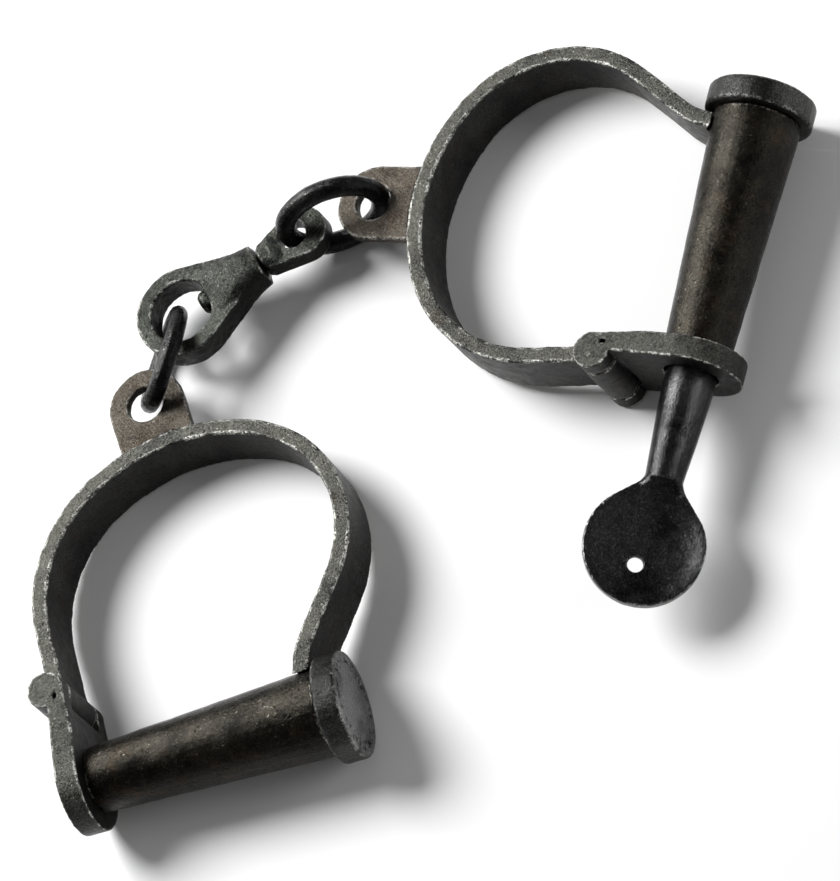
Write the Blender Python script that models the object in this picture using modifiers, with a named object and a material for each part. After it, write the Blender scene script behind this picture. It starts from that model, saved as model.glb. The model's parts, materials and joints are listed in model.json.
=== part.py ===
"""A pair of screw-key handcuffs, closed, lying on a table, with the key in the right-hand lock.

Each cuff is a flat forged bow hinged to a lock. The lock is a plate, a conical barrel and an end
cap. The bow's free end is a tongue that slides into the barrel beside the cap, where a sprung bolt
catches it. The hollow key screws onto the bolt's tail and draws it back. Two oval links and a
swivel join the lugs of the two bows.

Cuff frame: the barrel's axis is +Y, from the plate's outer face at y = 0 to the cap. The bow lies
towards -X and the cuff's flat side is up, +Z. Swivel frame: the loop's centre is the origin, and
the swivel's axis is +X, towards its eye.
"""

import math

import bmesh
import bpy
from mathutils import Matrix, Vector

MM = 0.001
GAP = 0.3 * MM  # between pieces that touch
CHAMFER = 0.5 * MM

# Bow: a flat strap on edge. Its centreline starts over the hinge pin and runs round to the barrel.
STRAP_WIDTH = 15.2 * MM
STRAP_THICK = 4.0 * MM
STRAP_START = Vector((-21.1 * MM, 1.0 * MM))
STRAP_HEADING = math.radians(-173)
STRAP_STRAIGHT = 18.5 * MM
STRAP_ARCS = ((35.4 * MM, 67.0), (47.1 * MM, 55.8), (32.1 * MM, 95.6))  # radius, sweep in degrees
OGEE_R = 18.0 * MM
TONGUE_PATH_R = 64.2 * MM  # about the hinge pin, so that the tongue slides along itself
TONGUE_WIDTH = 9.0 * MM
TONGUE_END_X = 4.2 * MM

# Hinge
PIN = Vector((-21.1 * MM, -0.2 * MM))
PIN_R = 1.9 * MM
PIN_DOME = 0.4 * MM
KNUCKLE_R = 4.6 * MM
HINGE_HEIGHT = 24.6 * MM

# Lock
PLATE_THICK = 5.7 * MM
PLATE_SHOULDER_X = -9.0 * MM
KEYHOLE_R = 6.6 * MM
BARREL_R_PLATE = 8.1 * MM
BARREL_R_CAP = 10.8 * MM
BARREL_END = 66.1 * MM
BORE_R = 6.7 * MM
CAP_R = 13.2 * MM
CAP_THICK = 6.2 * MM
SLOT_START = 59.8 * MM

# Bolt, drawn back clear of the tongue, which it locks when it moves 4.5 mm towards the cap
NOSE_R = 2.2 * MM
NOSE_TIP = 57.6 * MM
COLLAR_R = 6.3 * MM
COLLAR = (43.0 * MM, 47.0 * MM)
TAIL_R = 2.6 * MM
TAIL_END = 12.0 * MM
GUIDE = (20.0 * MM, 24.0 * MM)
SPRING_R = 4.6 * MM
SPRING_WIRE_R = 0.6 * MM
SPRING_TURNS = 8

# Key
KEY_TIP = 19.4 * MM
KEY_TIP_R = 6.1 * MM
KEY_NECK_R = 4.5 * MM
KEY_TAPER = (-5.0 * MM, -27.0 * MM)
KEY_BORE_R = 3.2 * MM
KEY_BORE_END = 2.0 * MM
KEY_BOW_R = 14.3 * MM
KEY_BOW_AT = Vector((-0.6 * MM, -43.2 * MM))
KEY_BOW_THICK = 2.6 * MM
KEY_BOW_HOLE_R = 1.9 * MM
KEY_BOW_HOLE = Vector((-1.5 * MM, -47.8 * MM))
KEY_TURN = math.radians(26)  # how the bow lies in the rest position

# Chain
LUG_THICK = 2.6 * MM
LUG_WIDTH = 19.6 * MM
LUG_LENGTH = 21.0 * MM
LUG_HOLE_R = 4.8 * MM
LUG_HOLE_AT = 11.4 * MM  # from the strap's outer face
LUG_RISE = 3.5 * MM
LUG_WELD = 0.5 * MM
WIRE_R = 2.35 * MM
LINK_HALF = (12.4 * MM, 10.2 * MM)
LOOP_R = 11.9 * MM
LOOP_HOLE_R = 8.2 * MM
LOOP_HOLE_X = 0.3 * MM
LOOP_THICK = 7.4 * MM
NECK_END = 23.2 * MM
NECK_R = 5.2 * MM
NECK_FLAT = 3.4 * MM  # half the width of the flat shoulders where they meet the neck
NECK_ROOT_R = 5.6 * MM
NECK_ROOT = 15.0 * MM
SHANK_R = 2.1 * MM
HEAD_R = 3.0 * MM
HEAD = (4.8 * MM, 7.6 * MM)
EYE_AT = 36.0 * MM
EYE_R = 6.7 * MM
EYE_HOLE_R = 3.7 * MM
EYE_HOLE = Vector((33.6 * MM, 0.8 * MM))
EYE_THICK = 5.2 * MM
EYE_NECK_R = 4.1 * MM

# Lay-out on the table, in millimetres and degrees
CUFF_TILT = (-0.9, -4.1)  # about X and Y: the strap's far edge and the cap's rim both touch down
CUFFS = {
    "right": {"at": (55.16, -48.55, 14.45), "yaw": 303.18, "lug": (183.3, 183.0)},
    "left": {"at": (-116.67, -7.95, 14.45), "yaw": 238.88, "lug": (187.6, 190.0)},
}
SWIVEL = {"at": (-19.02, 66.37, 11.60), "yaw": -12.47, "nose_up": -0.50}
LINKS = {
    "right": {"at": (24.59, 55.41, 12.84), "yaw": -25.1, "lean": 8.9, "roll": -0.5},
    "left": {"at": (-30.27, 62.37, 11.11), "yaw": 32.1, "lean": -34.1, "roll": -19.3},
}

STEPS = 32  # sides of a turned piece


def collection(name, hidden=False):
    made = bpy.data.collections.new(name)
    bpy.context.scene.collection.children.link(made)
    made.hide_render = hidden
    return made


def material(name, colour, roughness, metallic=0.9):
    made = bpy.data.materials.new(name)
    made.use_nodes = True
    shader = made.node_tree.nodes["Principled BSDF"]
    shader.inputs["Base Color"].default_value = (*colour, 1)
    shader.inputs["Roughness"].default_value = roughness
    shader.inputs["Metallic"].default_value = metallic
    made.diffuse_color = (*colour, 1)
    return made


def add(name, mesh, frame, slot=None, origin=(0, 0, 0)):
    """An object in the frame, with its origin at the given point. Without a slot it is a cutter."""
    obj = bpy.data.objects.new(name, mesh)
    obj.parent = frame
    mesh.transform(Matrix.Translation(-Vector(origin)))
    obj.location = origin
    if slot is None:
        obj.display_type = "WIRE"
        obj.hide_render = True
        CUTTERS.objects.link(obj)
    else:
        mesh.materials.append(MATERIALS[slot])
        PARTS.objects.link(obj)
    return obj


def boolean(obj, other, operation="DIFFERENCE"):
    modifier = obj.modifiers.new(other.name, "BOOLEAN")
    modifier.object = other
    modifier.operation = operation
    modifier.solver = "EXACT"


def outline(loops, thick, z=0.0):
    """A flat plate from closed loops of (x, y) points, the first outside and the rest holes."""
    curve = bpy.data.curves.new("outline", "CURVE")
    curve.dimensions = "2D"
    curve.fill_mode = "BOTH"
    curve.extrude = thick / 2
    for loop in loops:
        spline = curve.splines.new("POLY")
        spline.points.add(len(loop) - 1)
        for point, (x, y) in zip(spline.points, loop):
            point.co = (x, y, 0, 1)
        spline.use_cyclic_u = True
    obj = bpy.data.objects.new("outline", curve)
    bpy.context.scene.collection.objects.link(obj)
    graph = bpy.context.evaluated_depsgraph_get()
    mesh = bpy.data.meshes.new_from_object(obj.evaluated_get(graph))
    bpy.data.objects.remove(obj)
    bpy.data.curves.remove(curve)
    work = bmesh.new()
    work.from_mesh(mesh)
    bmesh.ops.remove_doubles(work, verts=work.verts, dist=1e-6)
    bmesh.ops.recalc_face_normals(work, faces=work.faces)
    work.to_mesh(mesh)
    work.free()
    mesh.transform(Matrix.Translation((0, 0, z)))
    return mesh


def cylinder(radius, start, end, turn=None):
    """A cylinder along Z between two heights, turned by a matrix if one is given."""
    work = bmesh.new()
    bmesh.ops.create_cone(
        work, cap_ends=True, segments=STEPS, radius1=radius, radius2=radius, depth=end - start
    )
    mesh = bpy.data.meshes.new("cylinder")
    work.to_mesh(mesh)
    work.free()
    mesh.transform((turn or Matrix()) @ Matrix.Translation((0, 0, (start + end) / 2)))
    return mesh


def box(low, high):
    work = bmesh.new()
    bmesh.ops.create_cube(work, size=1)
    mesh = bpy.data.meshes.new("box")
    work.to_mesh(mesh)
    work.free()
    low, high = Vector(low), Vector(high)
    mesh.transform(Matrix.Translation((low + high) / 2) @ Matrix.Diagonal((*(high - low), 1)))
    return mesh


def turned(name, profile, frame, slot, rotation=(0, 0, 0), origin=(0, 0, 0), ring=False):
    """A profile of (radius, height) points, running down its outer side, screwed about Z."""
    mesh = bpy.data.meshes.new(name)
    points = [(r, 0, h - origin[1] if rotation[0] else h) for r, h in profile]
    edges = [(i, i + 1) for i in range(len(points) - 1)]
    if ring:
        edges.append((len(points) - 1, 0))
    mesh.from_pydata(points, edges, [])
    obj = bpy.data.objects.new(name, mesh)
    obj.parent = frame
    obj.location = origin
    obj.rotation_euler = rotation
    if slot is None:
        obj.display_type = "WIRE"
        obj.hide_render = True
        CUTTERS.objects.link(obj)
    else:
        mesh.materials.append(MATERIALS[slot])
        PARTS.objects.link(obj)
    screw = obj.modifiers.new("turn", "SCREW")
    screw.steps = screw.render_steps = STEPS
    screw.use_merge_vertices = True
    screw.merge_threshold = 1e-6
    return obj


ALONG_Y = (math.radians(-90), 0, 0)  # a turned piece's height runs along the cuff's +Y
ALONG_X = (0, math.radians(90), 0)  # and here along the swivel's +X


def arc(centre, radius, start, end, count):
    """Points on an arc, angles in radians, both ends included."""
    return [
        Vector(centre) + radius * Vector((math.cos(a), math.sin(a)))
        for a in (start + (end - start) * i / count for i in range(count + 1))
    ]


def touch(corner, centre, radius, side):
    """The angle at which a straight line from the corner touches the circle."""
    away = corner - centre
    return math.atan2(away.y, away.x) + side * math.acos(radius / away.length)


def direction(angle):
    return Vector((math.cos(angle), math.sin(angle)))


def strap_centreline():
    """Points from the hinge to the tongue's end, with the unit normal that points out of the bow."""
    heading = STRAP_HEADING
    path = [(STRAP_START.copy(), heading)]
    at = STRAP_START + STRAP_STRAIGHT * direction(heading)
    path.append((at, heading))
    for radius, sweep in STRAP_ARCS:
        centre = at + radius * direction(heading - math.pi / 2)
        count = round(sweep / 5)
        for i in range(1, count + 1):
            h = heading - math.radians(sweep) * i / count
            path.append((centre + radius * direction(h + math.pi / 2), h))
        at, heading = path[-1]
    # The ogee turns the other way, and meets the tongue's circle about the hinge pin.
    ahead, left = direction(heading), direction(heading + math.pi / 2)
    base = at + OGEE_R * left - PIN
    along = -base.dot(ahead)
    along -= math.sqrt(along**2 - base.length_squared + (TONGUE_PATH_R + OGEE_R) ** 2)
    centre = at + along * ahead + OGEE_R * left
    tongue = (centre - PIN).normalized()
    tangent = math.atan2(tongue.y, tongue.x) - math.pi / 2
    bend = (tangent - heading + math.pi) % (2 * math.pi) - math.pi
    for i in range(7):
        h = heading + bend * i / 6
        path.append((centre - OGEE_R * direction(h + math.pi / 2), h))
    start = math.atan2(tongue.y, tongue.x)
    end = math.acos((TONGUE_END_X - PIN.x) / TONGUE_PATH_R)
    for i in range(1, 9):
        a = start + (end - start) * i / 8
        path.append((PIN + TONGUE_PATH_R * direction(a), a - math.pi / 2))
    return [(p, direction(h + math.pi / 2)) for p, h in path]


def ribbon(path, thick):
    """The closed outline of a band of this thickness along a path of (point, normal)."""
    half = thick / 2
    return [p + half * n for p, n in path] + [p - half * n for p, n in reversed(path)]


def bow_outline(path):
    """The strap's outline, whose hinge end is the knuckle's circle about the pin."""
    start, normal = path[0]
    offset = (start - PIN).dot(normal)
    outer = math.asin((offset + STRAP_THICK / 2) / KNUCKLE_R)
    inner = math.asin((offset - STRAP_THICK / 2) / KNUCKLE_R) + 2 * math.pi
    knuckle = arc(PIN, KNUCKLE_R, STRAP_HEADING + inner, STRAP_HEADING + outer, 28)
    return ribbon(path[1:], STRAP_THICK) + knuckle


def make_bow(side, frame):
    """Strap, knuckle and tongue in one piece, with a hole in the tongue for the bolt's nose."""
    pin_hole = arc(PIN, PIN_R + GAP, 0, 2 * math.pi, 24)[:-1]
    bow = add(f"{side}_bow", outline([bow_outline(strap_centreline()), pin_hole], STRAP_WIDTH),
              frame, "strap", (*PIN, 0))
    # Above and below the tongue the strap stops short of the barrel.
    reach = BARREL_R_CAP + GAP
    low = math.asin(TONGUE_WIDTH / 2 / reach)
    for above in (1, -1):
        segment = [(x, above * z) for x, z in arc((0, 0), reach, low, math.pi - low, 24)]
        mesh = outline([segment], 60 * MM)
        mesh.transform(Matrix.Translation((0, 60 * MM, 0)) @ Matrix.Rotation(math.pi / 2, 4, "X"))
        boolean(bow, add(f"{side}_tongue_side_{'top' if above > 0 else 'foot'}", mesh, frame))
    bolt_hole = add(f"{side}_tongue_hole", cylinder(
        NOSE_R + 2 * GAP, 50 * MM, 75 * MM, Matrix.Rotation(ALONG_Y[0], 4, "X")), frame)
    boolean(bow, bolt_hole)


def foot_on_strap(angle):
    """The point just inside the weld, where the strap's outer face looks along this angle."""
    aim = direction(angle)
    path = strap_centreline()
    for (p, n), (q, m) in zip(path, path[1:]):
        before, after = n.cross(aim), m.cross(aim)
        if before >= 0 > after or before <= 0 < after:
            return p.lerp(q, before / (before - after)) + (STRAP_THICK / 2 + LUG_WELD) * aim
    raise ValueError("no point on the strap looks that way")


def make_lug(side, frame, foot_angle, angle):
    """A flat lug welded to the strap's outer face, pointing along an angle of the cuff."""
    aim = math.radians(angle)
    foot = foot_on_strap(math.radians(foot_angle))
    out = direction(aim)
    across = direction(aim + math.pi / 2)
    radius = STRAP_ARCS[1][0] + STRAP_THICK / 2
    half = LUG_WIDTH / 2
    rim = []
    for i in range(9):
        w = half - LUG_WIDTH * i / 8
        rim.append(foot + w * across - (radius - math.sqrt(radius**2 - w**2)) * out)
    tip = LUG_LENGTH - half
    for i in range(17):
        a = -math.pi / 2 + math.pi * i / 16
        rim.append(foot + (tip + half * math.cos(a)) * out + half * math.sin(a) * across)
    hole = arc(foot + LUG_HOLE_AT * out, LUG_HOLE_R, 0, 2 * math.pi, 24)[:-1]
    return add(f"{side}_chain_lug", outline([rim, hole], LUG_THICK, LUG_RISE), frame, "lug")


def make_hinge_plate(side, frame):
    """The plate folded round the pin. Its two knuckles hold the bow's knuckle between them."""
    half = HINGE_HEIGHT / 2
    # Seen along the pin: a knuckle whose back runs up to the plate's full thickness.
    low = math.asin(PIN.y / KNUCKLE_R)
    section = [(2 * half, 0), (2 * half, PLATE_THICK), (PLATE_SHOULDER_X, PLATE_THICK)]
    section += arc(PIN, KNUCKLE_R, math.radians(80), 2 * math.pi - low, 24)
    plate = add(f"{side}_hinge_plate", outline([section], 2 * HINGE_HEIGHT), frame, "plate",
                (*PIN, 0))
    # Seen along the barrel: straight sides and a round end.
    rim = [(3 * PIN.x, half)] + arc((0, 0), half, math.pi / 2, -math.pi / 2, 24)
    rim.append((3 * PIN.x, -half))
    mesh = outline([rim], 8 * PLATE_THICK)
    mesh.transform(Matrix.Rotation(math.pi / 2, 4, "X"))
    round_end = add(f"{side}_plate_round_end", mesh, frame)
    reach = KNUCKLE_R + 2 * GAP
    middle = add(f"{side}_knuckle_gap", box(
        (PIN.x - reach, -reach, -STRAP_WIDTH / 2 - GAP),
        (PIN.x + reach, PLATE_THICK + reach, STRAP_WIDTH / 2 + GAP)), frame)
    pin_hole = add(f"{side}_plate_pin_hole", cylinder(PIN_R + GAP, -20 * MM, 20 * MM,
                                                      Matrix.Translation((*PIN, 0))), frame)
    keyhole = add(f"{side}_keyhole", cylinder(
        KEYHOLE_R, -10 * MM, 20 * MM, Matrix.Rotation(ALONG_Y[0], 4, "X")), frame)
    boolean(plate, round_end, "INTERSECT")
    boolean(plate, middle)
    boolean(plate, pin_hole)
    boolean(plate, keyhole)


def make_pin(side, frame):
    """The hinge pin, with both ends dressed almost flush."""
    top = HINGE_HEIGHT / 2
    profile = [(0, top), (PIN_R - PIN_DOME, top), (PIN_R, top - PIN_DOME)]
    profile += [(r, -h) for r, h in reversed(profile)]
    turned(f"{side}_hinge_pin", profile, frame, "pin", origin=(*PIN, 0))


def make_lock(side, frame):
    start = PLATE_THICK + GAP
    barrel = turned(f"{side}_lock_barrel", [
        (BORE_R, BARREL_END), (BARREL_R_CAP, BARREL_END), (BARREL_R_PLATE, start), (BORE_R, start),
    ], frame, "barrel", ALONG_Y, ring=True)
    half = TONGUE_WIDTH / 2 + GAP
    slot = add(f"{side}_tongue_slot", box((-20 * MM, SLOT_START, -half),
                                          (0, BARREL_END + 2 * MM, half)), frame)
    boolean(barrel, slot)
    low, high = BARREL_END + GAP, BARREL_END + GAP + CAP_THICK
    turned(f"{side}_end_cap", [
        (0, high), (CAP_R - CHAMFER, high), (CAP_R, high - CHAMFER), (CAP_R, low + CHAMFER),
        (CAP_R - CHAMFER, low), (0, low),
    ], frame, "cap", ALONG_Y)
    low, high = GUIDE
    turned(f"{side}_bolt_guide", [
        (TAIL_R + GAP, high), (BORE_R - GAP, high), (BORE_R - GAP, low), (TAIL_R + GAP, low),
    ], frame, "inner", ALONG_Y, ring=True)


def make_bolt(side, frame):
    """The bolt, drawn back: nose, collar and threaded tail."""
    low, high = COLLAR
    profile = [
        (0, NOSE_TIP), (NOSE_R - CHAMFER, NOSE_TIP), (NOSE_R, NOSE_TIP - CHAMFER), (NOSE_R, high),
        (COLLAR_R, high), (COLLAR_R, low), (TAIL_R, low), (TAIL_R, TAIL_END + CHAMFER),
        (TAIL_R - CHAMFER, TAIL_END), (0, TAIL_END),
    ]
    turned(f"{side}_bolt", profile, frame, "inner", ALONG_Y)


def make_spring(side, frame):
    """A coil between the guide and the bolt's collar, with one flat turn at each end."""
    low = GUIDE[1] + GAP + SPRING_WIRE_R
    high = COLLAR[0] - GAP - SPRING_WIRE_R
    curve = bpy.data.curves.new(f"{side}_bolt_spring", "CURVE")
    curve.dimensions = "3D"
    curve.bevel_depth = SPRING_WIRE_R
    curve.bevel_resolution = 2
    curve.use_fill_caps = True
    curve.materials.append(MATERIALS["spring"])
    count = 12 * (SPRING_TURNS + 2)
    flat = SPRING_WIRE_R * 2.3
    spline = curve.splines.new("POLY")
    spline.points.add(count)
    for i, point in enumerate(spline.points):
        turn = i / 12
        share = min(max((turn - 1) / SPRING_TURNS, 0), 1)
        rise = low + flat * min(turn, 1) + (high - low - 2 * flat) * share
        rise += flat * max(turn - SPRING_TURNS - 1, 0)
        a = 2 * math.pi * turn
        point.co = (SPRING_R * math.cos(a), rise, SPRING_R * math.sin(a), 1)
    obj = bpy.data.objects.new(f"{side}_bolt_spring", curve)
    obj.parent = frame
    PARTS.objects.link(obj)


def make_key(frame):
    """The key in the right lock: a hollow tapered shank, and a flat bow welded to its end."""
    start, end = KEY_TAPER
    turned("key_shank", [
        (0, KEY_BORE_END), (KEY_BORE_R, KEY_BORE_END), (KEY_BORE_R, KEY_TIP), (KEY_TIP_R, KEY_TIP),
        (KEY_TIP_R, start), (KEY_NECK_R, end), (0, end),
    ], frame, "key", ALONG_Y)
    corners = [Vector((KEY_NECK_R, end - GAP)), Vector((-KEY_NECK_R, end - GAP))]
    right, left = (touch(corner, KEY_BOW_AT, KEY_BOW_R, side)
                   for corner, side in zip(corners, (-1, 1)))
    rim = arc(KEY_BOW_AT, KEY_BOW_R, left, 2 * math.pi + right, 36) + corners
    hole = arc(KEY_BOW_HOLE, KEY_BOW_HOLE_R, 0, 2 * math.pi, 20)[:-1]
    bow = add("key_bow", outline([rim, hole], KEY_BOW_THICK), frame, "key")
    bow.rotation_euler = (0, KEY_TURN, 0)


def make_cuff(side):
    spec = CUFFS[side]
    frame = bpy.data.objects.new(f"{side}_cuff_frame", None)
    PARTS.objects.link(frame)
    frame.location = Vector(spec["at"]) * MM + SHIFT
    frame.rotation_mode = "YXZ"
    frame.rotation_euler = [math.radians(a) for a in (*CUFF_TILT, spec["yaw"])]
    make_bow(side, frame)
    make_lug(side, frame, *spec["lug"])
    make_hinge_plate(side, frame)
    make_pin(side, frame)
    make_lock(side, frame)
    make_bolt(side, frame)
    make_spring(side, frame)
    return frame


def make_link(side):
    """An oval link of round wire. It stands on its long side, leaning over."""
    spec = LINKS[side]
    curve = bpy.data.curves.new(f"{side}_link", "CURVE")
    curve.dimensions = "3D"
    curve.bevel_depth = WIRE_R
    curve.bevel_resolution = 3
    curve.materials.append(MATERIALS["link"])
    spline = curve.splines.new("POLY")
    count = 40
    spline.points.add(count - 1)
    for i, point in enumerate(spline.points):
        a = 2 * math.pi * i / count
        point.co = (LINK_HALF[0] * math.cos(a), 0, LINK_HALF[1] * math.sin(a), 1)
    spline.use_cyclic_u = True
    obj = bpy.data.objects.new(f"{side}_link", curve)
    obj.location = Vector(spec["at"]) * MM + SHIFT
    yaw, lean, roll = (math.radians(spec[k]) for k in ("yaw", "lean", "roll"))
    turn = Matrix.Rotation(yaw, 3, "Z") @ Matrix.Rotation(-lean, 3, "X")
    obj.rotation_euler = (turn @ Matrix.Rotation(-roll, 3, "Y")).to_euler()
    PARTS.objects.link(obj)


def make_swivel():
    frame = bpy.data.objects.new("swivel_frame", None)
    PARTS.objects.link(frame)
    frame.location = Vector(SWIVEL["at"]) * MM + SHIFT
    frame.rotation_euler = (0, -math.radians(SWIVEL["nose_up"]), math.radians(SWIVEL["yaw"]))

    # The outline is a ring whose shoulders run straight to the neck.
    flat_end = NECK_END - GAP
    shoulder = math.acos((LOOP_R - NECK_FLAT) / flat_end)
    rim = arc((0, 0), LOOP_R, shoulder, 2 * math.pi - shoulder, 40)
    rim += [(flat_end, -NECK_FLAT), (flat_end, NECK_FLAT)]
    body = add("swivel_body", outline([rim], LOOP_THICK), frame, "swivel")
    neck = turned("swivel_neck", [
        (0, NECK_END), (NECK_R - CHAMFER, NECK_END), (NECK_R, NECK_END - CHAMFER),
        (NECK_ROOT_R, NECK_ROOT), (NECK_FLAT, LOOP_R - 2 * MM), (0, LOOP_R - 2 * MM),
    ], frame, None, ALONG_X)
    loop_hole = add("swivel_loop_hole", cylinder(
        LOOP_HOLE_R, -12 * MM, 12 * MM, Matrix.Translation((LOOP_HOLE_X, 0, 0))), frame)
    shank_hole = add("swivel_shank_hole", cylinder(
        SHANK_R + GAP, 0, 40 * MM, Matrix.Rotation(ALONG_X[1], 4, "Y")), frame)
    boolean(body, neck, "UNION")
    boolean(body, loop_hole)
    boolean(body, shank_hole)

    # The eye turns on its shank, whose end is riveted over inside the loop.
    low, high = HEAD
    shoulder_at = NECK_END + GAP
    eye = turned("swivel_eye", [
        (0, EYE_AT - 2 * MM), (SHANK_R, EYE_AT - 4 * MM), (EYE_NECK_R, shoulder_at + 2 * MM),
        (EYE_NECK_R, shoulder_at + CHAMFER), (EYE_NECK_R - CHAMFER, shoulder_at),
        (SHANK_R, shoulder_at), (SHANK_R, high), (HEAD_R, high), (HEAD_R, low + 2 * CHAMFER),
        (HEAD_R - 2 * CHAMFER, low), (0, low),
    ], frame, "swivel", ALONG_X)
    tangent = math.acos((EYE_R - EYE_NECK_R) / (EYE_AT - shoulder_at))
    rim = arc((EYE_AT, 0), EYE_R, math.pi - tangent, -math.pi + tangent, 30)
    inset = EYE_NECK_R - GAP
    rim += [(shoulder_at + 2 * CHAMFER, -inset), (shoulder_at + 2 * CHAMFER, inset)]
    disc = add("swivel_eye_disc", outline([rim], EYE_THICK), frame)
    hole = add("swivel_eye_hole", cylinder(EYE_HOLE_R, -10 * MM, 10 * MM,
                                           Matrix.Translation((*EYE_HOLE, 0))), frame)
    boolean(eye, disc, "UNION")
    boolean(eye, hole)


for old in list(bpy.data.objects):
    bpy.data.objects.remove(old)

PARTS = collection("handcuffs")
CUTTERS = collection("cutters", hidden=True)
SHIFT = Vector((0.08 * MM, 3.73 * MM, -0.15 * MM))  # brings the middle of the underside to the origin
MATERIALS = {
    "strap": material("blackened_strap", (0.10, 0.10, 0.095), 0.5),
    "plate": material("brushed_plate", (0.16, 0.16, 0.14), 0.5),
    "barrel": material("brown_black_barrel", (0.07, 0.065, 0.06), 0.45),
    "cap": material("grey_cap", (0.10, 0.10, 0.10), 0.5),
    "lug": material("rusty_lug", (0.16, 0.12, 0.09), 0.6),
    "link": material("black_wire", (0.03, 0.03, 0.03), 0.35),
    "swivel": material("forged_swivel", (0.07, 0.07, 0.068), 0.5),
    "key": material("dark_key", (0.06, 0.06, 0.06), 0.4),
    "pin": material("pin_steel", (0.18, 0.18, 0.17), 0.45),
    "inner": material("bright_inner_steel", (0.45, 0.45, 0.44), 0.35),
    "spring": material("spring_steel", (0.35, 0.35, 0.36), 0.3),
}

for cuff in CUFFS:
    made_frame = make_cuff(cuff)
    if cuff == "right":
        make_key(made_frame)
for link in LINKS:
    make_link(link)
make_swivel()
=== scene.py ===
"""The looks of a pair of forged screw-key handcuffs, laid out on a pale table.

Each CAD node that shows is replaced by a worn, hand-forged skin: a finely remeshed copy of its solid,
rounded and dented, with attributes for wear and painted light that the procedural iron materials
read.
The bolt, guide and spring inside each lock keep their CAD meshes and get a material.
"""
import json
import math

import bmesh
import bpy
import numpy as np
from mathutils import Matrix, Vector, noise
from mathutils.bvhtree import BVHTree


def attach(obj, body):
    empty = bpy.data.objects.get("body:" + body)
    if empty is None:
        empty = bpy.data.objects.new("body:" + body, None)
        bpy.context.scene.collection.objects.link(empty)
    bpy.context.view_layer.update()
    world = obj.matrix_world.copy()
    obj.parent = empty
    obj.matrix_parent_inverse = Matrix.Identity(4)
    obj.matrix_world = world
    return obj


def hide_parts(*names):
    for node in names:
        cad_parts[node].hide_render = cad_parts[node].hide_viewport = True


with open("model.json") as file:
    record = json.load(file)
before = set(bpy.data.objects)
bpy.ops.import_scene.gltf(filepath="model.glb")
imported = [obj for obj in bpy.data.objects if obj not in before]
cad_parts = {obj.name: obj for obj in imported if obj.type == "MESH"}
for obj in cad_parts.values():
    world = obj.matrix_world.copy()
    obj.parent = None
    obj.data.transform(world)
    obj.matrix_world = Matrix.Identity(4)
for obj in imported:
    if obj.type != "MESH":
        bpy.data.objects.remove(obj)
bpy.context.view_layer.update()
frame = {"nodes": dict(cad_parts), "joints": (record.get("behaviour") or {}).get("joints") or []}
MM = 0.001


# ---------------------------------------------------------------- materials

class Graph:
    """A material's node tree, with short calls that add and link nodes."""

    def __init__(self, name):
        self.material = bpy.data.materials.new(name)
        self.material.use_nodes = True
        self.tree = self.material.node_tree
        self.shader = self.tree.nodes["Principled BSDF"]
        self.place = self.add("ShaderNodeTexCoord").outputs["Object"]

    def add(self, kind, sockets=None, **settings):
        made = self.tree.nodes.new(kind)
        for key, value in settings.items():
            setattr(made, key, value)
        for key, value in (sockets or {}).items():
            self.put(made.inputs[key], value)
        return made

    def put(self, socket, value):
        if isinstance(value, bpy.types.NodeSocket):
            self.tree.links.new(value, socket)
        else:
            socket.default_value = value

    def noise(self, size, detail, roughness=0.55, stretch=None):
        """Cloudy noise whose features are about this many metres across.
        A stretch is the scale and the rotation of the space that the noise is read in."""
        place = self.place
        if stretch:
            scale, rotation = stretch
            mapping = self.add("ShaderNodeMapping", {
                "Vector": place, "Scale": scale, "Rotation": rotation})
            place = mapping.outputs["Vector"]
        return self.add("ShaderNodeTexNoise", {
            "Vector": place, "Scale": 1 / size, "Detail": detail, "Roughness": roughness,
        }).outputs["Fac"]

    def math(self, operation, a, b):
        return self.add("ShaderNodeMath", {0: a, 1: b}, operation=operation).outputs["Value"]

    def times(self, a, b):
        return self.math("MULTIPLY", a, b)

    def plus(self, a, b):
        return self.math("ADD", a, b)

    def ramp(self, value, low, high):
        """0 below low and 1 above high, smooth between them."""
        return self.add("ShaderNodeMapRange", {
            "Value": value, "From Min": low, "From Max": high,
        }, interpolation_type="SMOOTHSTEP").outputs["Result"]

    def between(self, value, low, high):
        """Stretches 0 to 1 into low to high."""
        return self.add("ShaderNodeMapRange", {
            "Value": value, "To Min": low, "To Max": high}).outputs["Result"]

    def mix(self, factor, a, b):
        made = self.add("ShaderNodeMix", data_type="RGBA")
        self.put(made.inputs["Factor"], factor)
        self.put(made.inputs["A"], a if isinstance(a, bpy.types.NodeSocket) else (*a, 1))
        self.put(made.inputs["B"], b if isinstance(b, bpy.types.NodeSocket) else (*b, 1))
        return made.outputs["Result"]

    def scale(self, colour, factor):
        return self.add("ShaderNodeVectorMath", {0: colour, "Scale": factor},
                        operation="SCALE").outputs["Vector"]

    def attribute(self, name):
        return self.add("ShaderNodeAttribute", attribute_name=name).outputs["Fac"]


# How far across the iron's features are, and how deep its relief is.
CLOUD = 11 * MM
STAIN = 7 * MM
SCUFF = 2.8 * MM
PIT = 1.6 * MM
SCRATCH = 0.7 * MM
SPARK_AND_GLINT = 0.6 * MM
GRAIN = 0.4 * MM
RELIEF = 0.22 * MM

EDGE_WEAR = (0.38, 1.0)  # the wear over which an edge goes from dark to bare
FLECK_FLOOR = 0.04  # how bare a worn edge is between its flecks
CAVITY = (0.1, 0.7)
CAVITY_SHADE = 0.3
SPECULAR = 0.3


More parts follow.
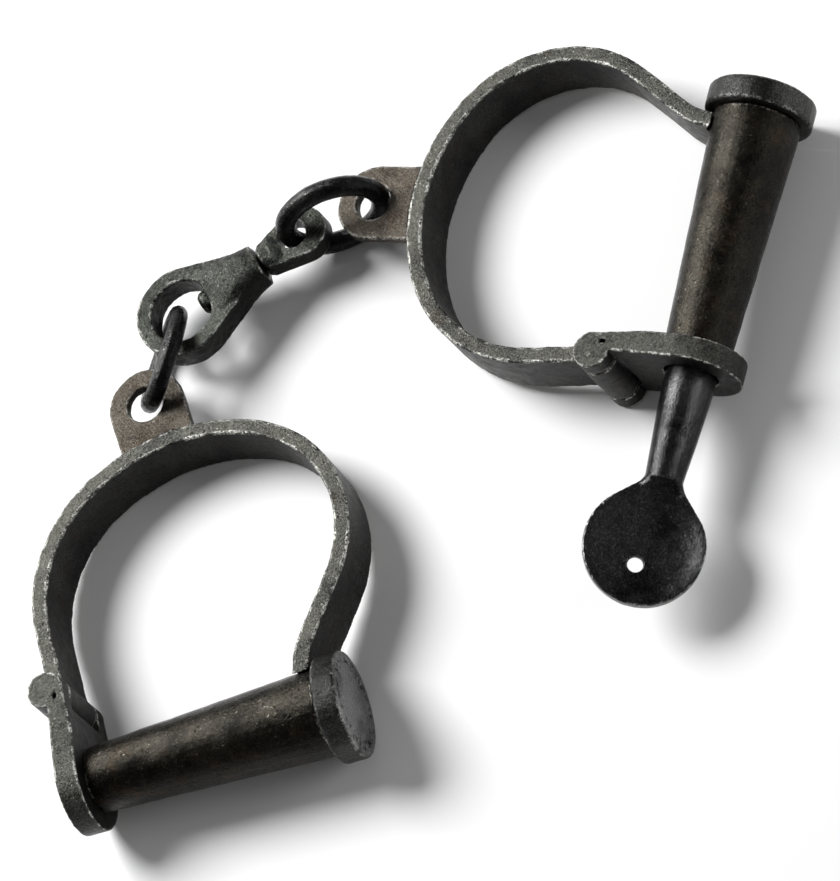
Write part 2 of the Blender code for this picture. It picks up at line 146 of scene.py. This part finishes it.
def iron(name, dark, light, rubbed_and_lit, worn, rough, metallic=0.85, bump=0.8, pits=0.0, sparks_and_glints=0.5,
         lines=None, scored=0.0, stain=None):
    """Old iron: a cloudy dark skin with a fine grain, paler where it is rubbed and where light is
    painted on, with bright flecks along its worn edges and sparks that are partly bare spots and
    partly painted glints. Colours are linear, rough is the lowest and highest roughness, lines is the
    direction of its scratches, and scored is how much they show."""
    g = Graph(name)
    deep = tuple(CAVITY_SHADE * c for c in dark)

    # The skin: two shades in clouds, a stain, rubbed places and painted light, grain, and dark
    # hollows.
    clouds = g.noise(CLOUD, detail=4)
    grains = g.noise(GRAIN, detail=3, roughness=0.65)
    scuffs = g.noise(SCUFF, detail=6, roughness=0.72)
    mottle = g.plus(g.times(clouds, 0.8), g.times(scuffs, 0.5))
    mottle = g.plus(mottle, g.times(grains, 0.45))
    skin = g.mix(g.ramp(mottle, 0.68, 1.08), dark, light)
    if stain:
        stained = g.ramp(g.noise(STAIN, detail=5, roughness=0.6), 0.5, 0.72)
        skin = g.mix(g.times(stained, 0.8), skin, stain)
    # This attribute is real rubbing on the edges of straps and plates and on the caps' end faces. On
    # the other pieces it is painted light: lamp-side light, top light and a sheen towards the viewer.
    rub_and_light = g.attribute("rub_and_light")
    skin = g.mix(g.times(rub_and_light, g.ramp(mottle, 0.6, 1.0)), skin, rubbed_and_lit)
    skin = g.scale(skin, g.between(g.ramp(grains, 0.34, 0.68), 0.55, 1.5))
    skin = g.mix(g.ramp(g.attribute("cavity"), *CAVITY), skin, deep)

    # Bare metal: flecks along the worn edges, and sparks, partly bare spots and partly painted
    # glints, on rubbed places and on painted light.
    flecks = g.times(g.ramp(grains, 0.4, 0.56), g.ramp(scuffs, 0.42, 0.56))
    edge = g.times(g.ramp(g.attribute("wear"), *EDGE_WEAR), g.between(flecks, FLECK_FLOOR, 1.0))
    spots = g.ramp(g.noise(SPARK_AND_GLINT, detail=2, roughness=0.6), 0.62, 0.73)
    bare_and_glints = g.times(spots, g.ramp(scuffs, 0.48, 0.6))
    bare_and_glints = g.times(bare_and_glints, g.between(rub_and_light, 0.1, 1.0))
    skin = g.mix(g.math("MAXIMUM", edge, g.times(bare_and_glints, sparks_and_glints)), skin, worn)

    # The relief: grain and scuffs, then scratches and pits where the piece has them.
    height = g.plus(g.times(grains, 0.8), scuffs)
    if lines:
        scratch = g.noise(SCRATCH, detail=3, roughness=0.6, stretch=lines)
        height = g.plus(height, g.times(scratch, 0.8))
        skin = g.mix(g.times(g.ramp(scratch, 0.52, 0.75), scored), skin, worn)
    if pits:
        cells = g.add("ShaderNodeTexVoronoi", {"Vector": g.place, "Scale": 1 / PIT})
        middles = g.ramp(g.math("SUBTRACT", 1.0, cells.outputs["Distance"]), 0.72, 0.95)
        pit = g.times(middles, g.ramp(scuffs, 0.48, 0.62))
        height = g.math("SUBTRACT", height, g.times(pit, pits))
        skin = g.mix(g.times(pit, 0.5), skin, deep)
    relief = g.add("ShaderNodeBump", {"Height": height, "Strength": bump, "Distance": RELIEF})

    g.put(g.shader.inputs["Base Color"], skin)
    g.put(g.shader.inputs["Roughness"], g.between(g.ramp(scuffs, 0.3, 0.75), *rough))
    g.put(g.shader.inputs["Normal"], relief.outputs["Normal"])
    g.put(g.shader.inputs["Metallic"], metallic)
    g.put(g.shader.inputs["Specular IOR Level"], SPECULAR)
    return g.material


def grey(value):
    return value, value, value


FLAT_LINES = ((0.15, 6.0, 1.0), (0, 0, math.radians(25)))
LUG_LINES = ((6.0, 0.15, 1.0), (0, 0, math.radians(10)))
MATERIALS = {
    "strap": iron(
        "blackened_strap", dark=grey(0.016), light=(0.040, 0.040, 0.038),
        rubbed_and_lit=(0.066, 0.066, 0.057), worn=(0.75, 0.75, 0.7), rough=(0.34, 0.58),
        pits=0.9, bump=1.0, stain=(0.030, 0.024, 0.017)),
    "plate": iron(
        "rubbed_plate", dark=(0.007, 0.007, 0.0065), light=(0.017, 0.0173, 0.0157),
        rubbed_and_lit=(0.072, 0.073, 0.063), worn=(0.8, 0.8, 0.75), rough=(0.32, 0.52),
        pits=0.7, lines=FLAT_LINES, scored=0.08),
    "barrel": iron(
        "brown_black_barrel", dark=(0.0032, 0.0029, 0.0023), light=(0.0125, 0.0110, 0.0083),
        rubbed_and_lit=(0.031, 0.0275, 0.0215), worn=(0.5, 0.47, 0.4), rough=(0.21, 0.39),
        pits=0.9, stain=(0.027, 0.0165, 0.0085)),
    "cap": iron(
        "grey_cap", dark=(0.018, 0.018, 0.017), light=(0.05, 0.05, 0.048),
        rubbed_and_lit=grey(0.2), worn=(0.5, 0.5, 0.47), rough=(0.3, 0.5), pits=0.7),
    "lug": iron(
        "rusty_lug", dark=(0.012, 0.0095, 0.007), light=(0.036, 0.030, 0.023),
        rubbed_and_lit=(0.08, 0.069, 0.055), worn=(0.5, 0.48, 0.44), rough=(0.38, 0.6),
        pits=0.7, lines=LUG_LINES, scored=0.25, stain=(0.045, 0.024, 0.012)),
    "link": iron(
        "black_wire", dark=grey(0.0035), light=grey(0.016),
        rubbed_and_lit=(0.048, 0.048, 0.047), worn=(0.6, 0.6, 0.58), rough=(0.16, 0.36), pits=0.5),
    "swivel": iron(
        "forged_swivel", dark=(0.005, 0.0052, 0.0047), light=(0.017, 0.018, 0.0158),
        rubbed_and_lit=(0.062, 0.065, 0.056), worn=(0.6, 0.6, 0.56), rough=(0.28, 0.52),
        pits=0.8, bump=1.2),
    "key": iron(
        "dark_key", dark=grey(0.007), light=grey(0.028), rubbed_and_lit=grey(0.07),
        worn=(0.45, 0.45, 0.44), rough=(0.1, 0.26), pits=0.8, bump=0.6),
    "inner": iron(
        "bright_inner_steel", dark=(0.28, 0.28, 0.27), light=(0.45, 0.45, 0.44),
        rubbed_and_lit=grey(0.5), worn=(0.7, 0.7, 0.68), rough=(0.25, 0.4), metallic=1.0, sparks_and_glints=0.0),
    "spring": iron(
        "spring_steel", dark=(0.2, 0.2, 0.21), light=(0.35, 0.35, 0.36),
        rubbed_and_lit=grey(0.4), worn=grey(0.6), rough=(0.2, 0.35), metallic=1.0, sparks_and_glints=0.0),
}


# ---------------------------------------------------------------- places

def joint(name):
    return next(j for j in frame["joints"] if j["name"] == name)


def joint_place(name):
    return Vector(joint(name)["pos_m"])


def joint_axis(name):
    return Vector(joint(name)["axis"])


def matrix_of(x, y, z, place):
    """The matrix of a frame with these axes, standing at a place."""
    made = Matrix((x, y, z)).transposed().to_4x4()
    made.translation = place
    return made


def axis_of(matrix, column):
    return np.array(matrix.to_3x3().col[column])


def seen_from(matrix, points):
    """World points in a frame's own coordinates."""
    inverse = np.array(matrix.inverted())
    return points @ inverse[:3, :3].T + inverse[:3, 3]


def points_of(mesh):
    flat = np.empty(len(mesh.vertices) * 3, np.float32)
    mesh.vertices.foreach_get("co", flat)
    return flat.reshape(-1, 3).astype(float)


def normals_of(mesh):
    flat = np.empty(len(mesh.vertices) * 3, np.float32)
    mesh.vertex_normals.foreach_get("vector", flat)
    return flat.reshape(-1, 3).astype(float)


PIN_TO_AXIS = (21.1 * MM, 0.2 * MM)  # from the hinge pin to the barrel's axis, in the cuff's x and y


def cuff_frame(side):
    """The cuff's matrix: +Y runs along the barrel from the plate, +Z is the cuff's upper side."""
    y = joint_axis(f"{side}_bolt_slide")
    z = -joint_axis(f"{side}_hinge")
    x = y.cross(z)
    place = joint_place(f"{side}_hinge") + PIN_TO_AXIS[0] * x + PIN_TO_AXIS[1] * y
    return matrix_of(x, y, z, place)


def key_frame():
    """The key's matrix: +Y runs up its shank, +Z is square to its flat bow."""
    y = joint_axis("right_bolt_slide")
    bow = points_of(frame["nodes"]["key_bow"].data)
    z = Vector(np.linalg.svd(bow - bow.mean(0), full_matrices=False)[2][2])
    z = (z - z.dot(y) * y).normalized()
    if z.z < 0:
        z = -z
    return matrix_of(y.cross(z), y, z, CUFFS["right"].translation)


LOOP_TO_JOINT = 20 * MM  # from the middle of the swivel's loop to the place of its joint


def swivel_frame():
    """The swivel's matrix, in the middle of its loop: +Y runs along it to the eye, +Z is up."""
    y = joint_axis("swivel_turn")
    if y.dot(joint_place("right_link_swing") - joint_place("left_link_swing")) < 0:
        y = -y
    up = Vector((0, 0, 1))
    z = (up - up.dot(y) * y).normalized()
    return matrix_of(y.cross(z), y, z, joint_place("swivel_turn") - LOOP_TO_JOINT * y)


CUFFS = {side: cuff_frame(side) for side in ("right", "left")}
KEY = key_frame()
SWIVEL = swivel_frame()


# ---------------------------------------------------------------- forged skins

def new_object(name, data):
    made = bpy.data.objects.new(name, data)
    bpy.context.scene.collection.objects.link(made)
    return made


def mesh_from(work, name):
    """Turns a bmesh into a mesh and frees it."""
    mesh = bpy.data.meshes.new(name)
    work.to_mesh(mesh)
    work.free()
    return mesh


def evaluated_mesh(obj):
    graph = bpy.context.evaluated_depsgraph_get()
    return bpy.data.meshes.new_from_object(obj.evaluated_get(graph))


def neighbour_mean(values, edges, count):
    total = np.zeros_like(values)
    np.add.at(total, edges[:, 0], values[edges[:, 1]])
    np.add.at(total, edges[:, 1], values[edges[:, 0]])
    return total / (count[:, None] if values.ndim == 2 else count)


def store(mesh, name, values):
    attribute = mesh.attributes.new(name, "FLOAT", "POINT")
    attribute.data.foreach_set("value", values.astype(np.float32))


SHARP = 0.11  # the bend of a full edge or hollow, in voxels
SHARPEST = 1.5  # the most wear or cavity that a point keeps


def mark_wear(mesh, voxel, rub_and_light):
    """Stores how sharp (wear) or hollow (cavity) each point is, and how much it is rubbed, which on
    some pieces is painted light.
    """
    points, normals = points_of(mesh), normals_of(mesh)
    edges = np.empty(len(mesh.edges) * 2, np.int32)
    mesh.edges.foreach_get("vertices", edges)
    edges = edges.reshape(-1, 2)
    count = np.maximum(np.bincount(edges.ravel(), minlength=len(points)), 1).astype(float)
    bend = ((points - neighbour_mean(points, edges, count)) * normals).sum(1) / (voxel * MM)
    for _ in range(3):
        bend = 0.4 * bend + 0.6 * neighbour_mean(bend, edges, count)
    store(mesh, "wear", np.clip(bend / SHARP, 0, SHARPEST))
    store(mesh, "cavity", np.clip(-bend / SHARP, 0, SHARPEST))
    store(mesh, "rub_and_light", np.clip(rub_and_light(normals), 0, 1))


def no_rub(normals):
    return np.zeros(len(normals))


def paler_towards(direction, power, gain=1.0):
    """What looks this way is painted paler: real rubbing on the caps' end faces, and painted light
    where the lamp, up and viewer directions use it. The rest keeps its dark skin.
    """
    direction = np.array(Vector(direction).normalized())
    return lambda normals: gain * np.clip(normals @ direction, 0, 1) ** power


def edge_rub(side):
    """What looks to the cuff's upper or lower side is rubbed: the edges of its strap and plate."""
    up = axis_of(CUFFS[side], 2)
    return lambda normals: (normals @ up) ** 2


def face_rub(side):
    """The cap's round end face is rubbed."""
    return paler_towards(axis_of(CUFFS[side], 1), power=3)


# Paler faces by the way they look: painted lamp light towards the key lamp, painted top light
# straight up, and a painted sheen towards the viewer.
# Painted lamp light: faces that look to the key lamp are painted paler, with more sparks, on barrels
# and links.
LAMP_SIDE_LIGHT = paler_towards((-0.25, 0.72, 0.65), power=1.5, gain=1.3)
# Painted top light: faces that look straight up are painted paler on the lugs and the swivel.
TOP_LIGHT = paler_towards((-0.1, 0.2, 1.0), power=2.5)
# Painted sheen: faces that look to the viewer are painted a little paler on the key.
VIEWER_SHEEN = paler_towards((0.1, -0.3, 1.0), power=2.0, gain=0.5)


def clouds(name, size, depth):
    texture = bpy.data.textures.new(name, "CLOUDS")
    texture.noise_scale = size
    texture.noise_depth = depth
    return texture


HAMMERED = clouds("hammered", 7 * MM, 2)
GRITTY = clouds("gritty", 1.6 * MM, 3)


def forge(obj, voxel, rounding, dents):
    """Remeshes the object, rounds it and dents it with each texture. Lengths are in millimetres."""
    remesh = obj.modifiers.new("remesh", "REMESH")
    remesh.mode = "VOXEL"
    remesh.voxel_size = voxel * MM
    remesh.use_smooth_shade = True
    smooth = obj.modifiers.new("smooth", "SMOOTH")
    smooth.factor = 0.5
    smooth.iterations = rounding
    for texture, strength in dents:
        displace = obj.modifiers.new(texture.name, "DISPLACE")
        displace.texture = texture
        displace.texture_coords = "LOCAL"
        displace.strength = strength * MM
    mesh = evaluated_mesh(obj)
    obj.modifiers.clear()
    obj.data = mesh


def joined(nodes, filler):
    """One mesh of CAD nodes and a filler, without custom normals and with a single material."""
    work = bmesh.new()
    for node in nodes:
        work.from_mesh(frame["nodes"][node].data)
    bmesh.ops.remove_doubles(work, verts=work.verts, dist=1e-6)
    if filler:
        work.from_mesh(filler)
    mesh = mesh_from(work, f"{nodes[0]}_skin")
    for attribute in [a.name for a in mesh.attributes if a.name.startswith("custom")]:
        mesh.attributes.remove(mesh.attributes[attribute])
    for polygon in mesh.polygons:
        polygon.material_index = 0
    return mesh


def skin(nodes, body, slot, voxel, rounding, dents=0.22, grit=0.06, rub_and_light=no_rub, shape=None,
         cutters=(), filler=None, swell=0.0):
    """A worn, forged copy of one or more CAD nodes, which it replaces. Lengths are in millimetres.

    The first node names the piece. Nodes that touch come out welded, with the filler, a closed
    mesh, smoothing the way from one to the other."""
    obj = new_object(f"{nodes[0]}_skin", joined(nodes, filler))
    for cutter in cutters:
        cut = obj.modifiers.new("cut", "BOOLEAN")
        cut.object = cutter
        cut.solver = "EXACT"
    forge(obj, voxel, rounding, ((HAMMERED, dents), (GRITTY, grit)))
    for cutter in cutters:
        bpy.data.objects.remove(cutter)
    if shape or swell:
        points, normals = points_of(obj.data), normals_of(obj.data)
        points += swell * MM * normals
        points = shape(points, normals) if shape else points
        obj.data.vertices.foreach_set("co", points.astype(np.float32).ravel())
        obj.data.update()
    mark_wear(obj.data, voxel, rub_and_light)
    obj.data.materials.append(MATERIALS[slot])
    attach(obj, body)
    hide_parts(*nodes)


def loft(name, sections, matrix, power, sides=32):
    """A closed mesh through rounded sections (y, half width in x, half height in z) in mm.
    A power of 2 gives ellipses, and a higher one squarer sections."""
    def round_off(value):
        return math.copysign(abs(value) ** (2 / power), value)

    turns = [2 * math.pi * i / sides for i in range(sides)]
    work = bmesh.new()
    rings = []
    for y, wide, high in sections:
        rings.append([work.verts.new((wide * round_off(math.cos(a)) * MM, y * MM,
                                      high * round_off(math.sin(a)) * MM)) for a in turns])
    for low, high in zip(rings, rings[1:]):
        for i in range(sides):
            work.faces.new((low[i - 1], low[i], high[i], high[i - 1]))
    work.faces.new(rings[0])
    work.faces.new(rings[-1][::-1])
    bmesh.ops.recalc_face_normals(work, faces=work.faces)
    mesh = mesh_from(work, name)
    mesh.transform(matrix)
    return mesh


# ---------------------------------------------------------------- the cuffs

SEAM = ((-19.6, 1.7), (-19.3, 2.8), (-16.6, 2.4), (-16.6, 2.15))  # in the cuff's x and y, in mm
SEAM_DEPTH = 1.5 * MM
HINGE_END = 12.3 * MM

PIT_RING_R = 10.4 * MM
PIT_RING_HALF = 1.6 * MM
PIT_SPREAD = 1.1 * MM
PIT_DEPTH = 2.2 * MM

WELD_REACH = 0.75 * MM
WELD_R = 1.1 * MM
WELD_LUMP = 2.5 * MM
WELD_UNEVEN = 0.35
WELD_VOXEL = 0.3

# The right link and lug come out a little fuller than their solids, in mm. The left link lies too
# close to its neighbours for that.
LINK_SWELL = {"right": 0.3, "left": 0.0}
LUG_SWELL = {"right": 0.15, "left": 0.0}


def end_word(end):
    return "top" if end > 0 else "foot"


def seam_cutter(side, end):
    """A cutter for the notch by the knuckle, where the plate is folded over. The end is 1 or -1."""
    work = bmesh.new()
    face = work.faces.new([work.verts.new((x * MM, y * MM, HINGE_END * end - SEAM_DEPTH))
                           for x, y in SEAM])
    moved = bmesh.ops.extrude_face_region(work, geom=[face])["geom"]
    bmesh.ops.translate(work, vec=(0, 0, 2 * SEAM_DEPTH),
                        verts=[v for v in moved if isinstance(v, bmesh.types.BMVert)])
    bmesh.ops.recalc_face_normals(work, faces=work.faces)
    mesh = mesh_from(work, "seam")
    mesh.transform(CUFFS[side])
    made = new_object(f"{side}_seam_{end_word(end)}", mesh)
    made.hide_render = True
    return made


def pitted_face(side):
    """Small pits in a ring near the rim of the cap's end face."""
    out = axis_of(CUFFS[side], 1)

    def shape(points, normals):
        local = seen_from(CUFFS[side], points)
        radius = np.hypot(local[:, 0], local[:, 2])
        ring = np.clip(1 - np.abs(radius - PIT_RING_R) / PIT_RING_HALF, 0, 1)
        ring *= np.clip(normals @ out - 0.7, 0, 0.3) / 0.3
        depth = np.zeros(len(points))
        for i in np.nonzero(ring > 0)[0]:
            depth[i] = noise.noise(Vector(points[i]) / PIT_SPREAD)
        return points - out * (np.clip(depth - 0.05, 0, 0.35) * ring * PIT_DEPTH)[:, None]
    return shape


def lug_foot(side):
    """Points where the lug meets the strap, on the lug's upper (1) and lower (-1) face."""
    bow_mesh = frame["nodes"][f"{side}_bow"].data
    bow = BVHTree.FromPolygons([v.co for v in bow_mesh.vertices],
                               [tuple(p.vertices) for p in bow_mesh.polygons])
    up = Vector(axis_of(CUFFS[side], 2))
    lug = frame["nodes"][f"{side}_chain_lug"].data
    middle = sum((v.co for v in lug.vertices), Vector()) / len(lug.vertices)
    near = {}
    for vertex in lug.vertices:
        if bow.find_nearest(vertex.co)[3] < WELD_REACH:
            near[tuple(round(c, 5) for c in vertex.co)] = vertex.co.copy()
    rows = {1: [], -1: []}
    for place in near.values():
        rows[1 if (place - middle).dot(up) > 0 else -1].append(place)
    for row in rows.values():
        across = max((a - b for a in row for b in row), key=lambda d: d.length).normalized()
        if across.x < 0:
            across = -across
        row.sort(key=lambda p: p.dot(across))
    return rows


def weld_bead(name, path, body, seed):
    """A lumpy weld bead along a path of points."""
    curve = bpy.data.curves.new(name, "CURVE")
    curve.dimensions = "3D"
    curve.bevel_depth = WELD_R
    curve.bevel_resolution = 3
    curve.use_fill_caps = True
    spline = curve.splines.new("POLY")
    spline.points.add(len(path) - 1)
    for point, place in zip(spline.points, path):
        point.co = (*place, 1)
        point.radius = 1 + WELD_UNEVEN * noise.noise(Vector(place) / WELD_LUMP + Vector((seed, 0, 0)))
    tube = new_object(name, curve)
    mesh = evaluated_mesh(tube)
    bpy.data.objects.remove(tube)
    obj = new_object(name, mesh)
    forge(obj, WELD_VOXEL, rounding=2, dents=((GRITTY, 0.3),))
    mark_wear(obj.data, WELD_VOXEL, no_rub)
    obj.data.materials.append(MATERIALS["lug"])
    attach(obj, body)


def make_cuff(side):
    """One cuff with its lock, its lug and the link that hangs in the lug."""
    bow, lock = f"{side}_bow", f"{side}_lock"
    skin([f"{side}_bow"], bow, "strap", voxel=0.46, rounding=2, rub_and_light=edge_rub(side))
    skin([f"{side}_chain_lug"], bow, "lug", voxel=0.36, rounding=3, dents=0.2, grit=0.08,
         rub_and_light=TOP_LIGHT, swell=LUG_SWELL[side])
    skin([f"{side}_hinge_plate", f"{side}_hinge_pin"], lock, "plate", voxel=0.36, rounding=3,
         dents=0.2, rub_and_light=edge_rub(side), cutters=[seam_cutter(side, end) for end in (1, -1)])
    skin([f"{side}_lock_barrel"], lock, "barrel", voxel=0.46, rounding=2, dents=0.25, grit=0.05,
         rub_and_light=LAMP_SIDE_LIGHT)
    skin([f"{side}_end_cap"], lock, "cap", voxel=0.4, rounding=3, dents=0.2, rub_and_light=face_rub(side),
         shape=pitted_face(side))
    for piece, slot in (("bolt", "inner"), ("bolt_guide", "inner"), ("bolt_spring", "spring")):
        node = frame["nodes"][f"{side}_{piece}"]
        node.data.materials.clear()
        node.data.materials.append(MATERIALS[slot])
        node.data.shade_smooth()
    skin([f"{side}_link"], f"{side}_link", "link", voxel=0.32, rounding=3, dents=0.25, grit=0.07,
         rub_and_light=LAMP_SIDE_LIGHT, swell=LINK_SWELL[side])
    for end, row in lug_foot(side).items():
        if len(row) > 2:
            weld_bead(f"{side}_lug_weld_{end_word(end)}", row, bow, seed=3.0 * end)


# ---------------------------------------------------------------- the swivel and the key

# Sections of the forged transitions, for loft: places along the piece and half sizes, in mm.
SHOULDERS = [(7.5, 9.6, 3.4), (10.0, 9.0, 4.4), (13.0, 7.6, 5.2), (16.0, 6.4, 5.6),
             (19.5, 5.6, 5.4), (22.9, 5.1, 5.0)]
EYE_ROOT = [(25.7, 3.9, 3.9), (27.2, 4.4, 3.8), (28.6, 5.0, 3.1), (29.8, 5.4, 2.4)]
KEY_NECK = [(-24.0, 4.45, 4.45), (-26.4, 4.6, 4.3), (-28.0, 5.4, 3.3), (-29.6, 6.6, 2.0),
            (-31.4, 8.0, 1.35), (-34.0, 8.6, 1.0)]
FORGED_SQUARE = 3.0
ROUND = 2.0

# The key's bow in the key's frame.
BOW_X, BOW_Y = -0.6 * MM, -43.2 * MM
DISH_R = 12.8 * MM
DISH = 0.45 * MM
CURL = 2.2 * MM
CURL_FROM_X, CURL_WIDTH = 3 * MM, 11 * MM
CURL_FROM_Y, CURL_BLEND = -29 * MM, 6 * MM


def dished_bow(points, normals):
    """The key's bow is a little thinner in its middle than at its rim, and one side curls up."""
    local = seen_from(KEY, points)
    radius = np.hypot(local[:, 0] - BOW_X, local[:, 1] - BOW_Y)
    dish = np.clip(1 - (radius / DISH_R) ** 2, 0, 1)
    curl = np.clip((local[:, 0] - CURL_FROM_X) / CURL_WIDTH, 0, 1) ** 2
    curl *= np.clip((CURL_FROM_Y - local[:, 1]) / CURL_BLEND, 0, 1)
    return points + axis_of(KEY, 2) * (curl * CURL - np.sign(local[:, 2]) * dish * DISH)[:, None]


def make_swivel():
    skin(["swivel_body"], "swivel", "swivel", voxel=0.34, rounding=6, dents=0.55, grit=0.26,
         rub_and_light=TOP_LIGHT, filler=loft("shoulders", SHOULDERS, SWIVEL, FORGED_SQUARE))
    skin(["swivel_eye"], "eye", "swivel", voxel=0.3, rounding=4, dents=0.35, grit=0.16,
         rub_and_light=TOP_LIGHT, filler=loft("eye_root", EYE_ROOT, SWIVEL, FORGED_SQUARE))


def make_key():
    skin(["key_bow", "key_shank"], "key", "key", voxel=0.32, rounding=3, dents=0.18, grit=0.05,
         rub_and_light=VIEWER_SHEEN, shape=dished_bow, filler=loft("flattened_neck", KEY_NECK, KEY, ROUND))


make_cuff("right")
make_cuff("left")
make_swivel()
make_key()


# ---------------------------------------------------------------- table, light, camera

TABLE_SIZE = 4.0
PAPER_WHITE = 0.86
PAPER_ROUGHNESS = 0.85
WORLD_STRENGTH = 0.18


def make_table():
    work = bmesh.new()
    bmesh.ops.create_grid(work, x_segments=1, y_segments=1, size=TABLE_SIZE / 2)
    mesh = mesh_from(work, "table_top")
    paper = Graph("pale_table")
    paper.put(paper.shader.inputs["Base Color"], (*grey(PAPER_WHITE), 1))
    paper.put(paper.shader.inputs["Roughness"], PAPER_ROUGHNESS)
    mesh.materials.append(paper.material)
    new_object("table_top", mesh)


def softbox(name, place, size, power):
    """A round area light that looks at the origin."""
    light = bpy.data.lights.new(name, "AREA")
    light.shape = "DISK"
    light.size = size
    light.energy = power
    made = new_object(name, light)
    made.location = place
    made.rotation_euler = (-Vector(place)).to_track_quat("-Z", "Y").to_euler()


make_table()
softbox("key", (-0.25, 0.78, 0.85), size=0.65, power=22)
softbox("side", (0.95, -0.7, 0.45), size=0.5, power=4.5)

world = bpy.data.worlds.new("studio")
world.use_nodes = True
world.node_tree.nodes["Background"].inputs["Color"].default_value = (1, 1, 1, 1)
world.node_tree.nodes["Background"].inputs["Strength"].default_value = WORLD_STRENGTH
bpy.context.scene.world = world
bpy.context.scene.view_settings.view_transform = "Standard"

# The photo's camera: how steeply it looks down, how it is turned about its view, and what it aims at.
ELEVATION = math.radians(59.51)
ROLL = math.radians(-45.35)
DISTANCE = 0.9712
AIM = Vector((0.08, 3.73, -0.15)) * MM
FOCAL_IN_IMAGE_HEIGHTS = 4.540

back = Vector((0, -math.cos(ELEVATION), math.sin(ELEVATION)))
level = Vector((1, 0, 0))
upright = back.cross(level)
right = math.cos(ROLL) * level + math.sin(ROLL) * upright
top = -math.sin(ROLL) * level + math.cos(ROLL) * upright
camera_data = bpy.data.cameras.new("camera")
camera_data.lens = camera_data.sensor_width * FOCAL_IN_IMAGE_HEIGHTS
camera = new_object("camera", camera_data)
camera.matrix_world = matrix_of(right, top, back, AIM + back * DISTANCE)
bpy.context.scene.camera = camera


bpy.context.view_layer.update()
